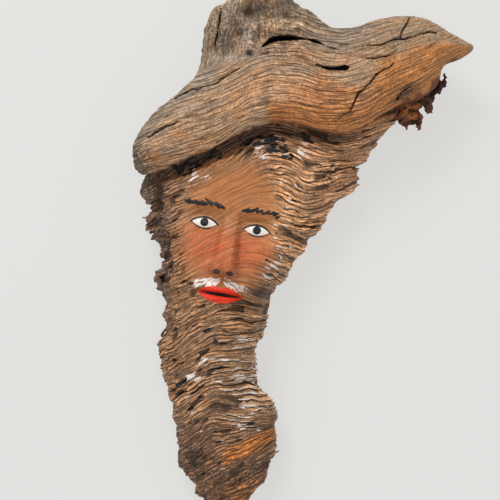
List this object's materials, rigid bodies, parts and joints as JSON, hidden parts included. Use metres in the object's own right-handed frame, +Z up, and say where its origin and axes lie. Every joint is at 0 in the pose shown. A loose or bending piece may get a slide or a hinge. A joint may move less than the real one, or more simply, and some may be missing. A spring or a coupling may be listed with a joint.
{
  "type": "wood relief carving",
  "caption": "Bearded head under a wide hat brim, carved in relief in one piece of driftwood with a sawn flat back, made to hang on a wall.",
  "frame": {"origin": "a point on the sawn flat back, straight above the centre of mass, where a hook holds the carving at its tilt", "axes": "+Z up along the carving, from the beard's tip to the broken stub; -Y out of the front, so the flat back lies in y = 0; +X towards the tip of the hat's long arm"},
  "size_m": [0.2695, 0.0805, 0.4154],
  "materials": {
    "weathered_wood": "weathered grain with raised growth ridges, lightly varnished, with dabs of paint on the face"
  },
  "bodies": {
    "root": {"driftwood_carving": "weathered_wood"}
  },
  "joints": []
}
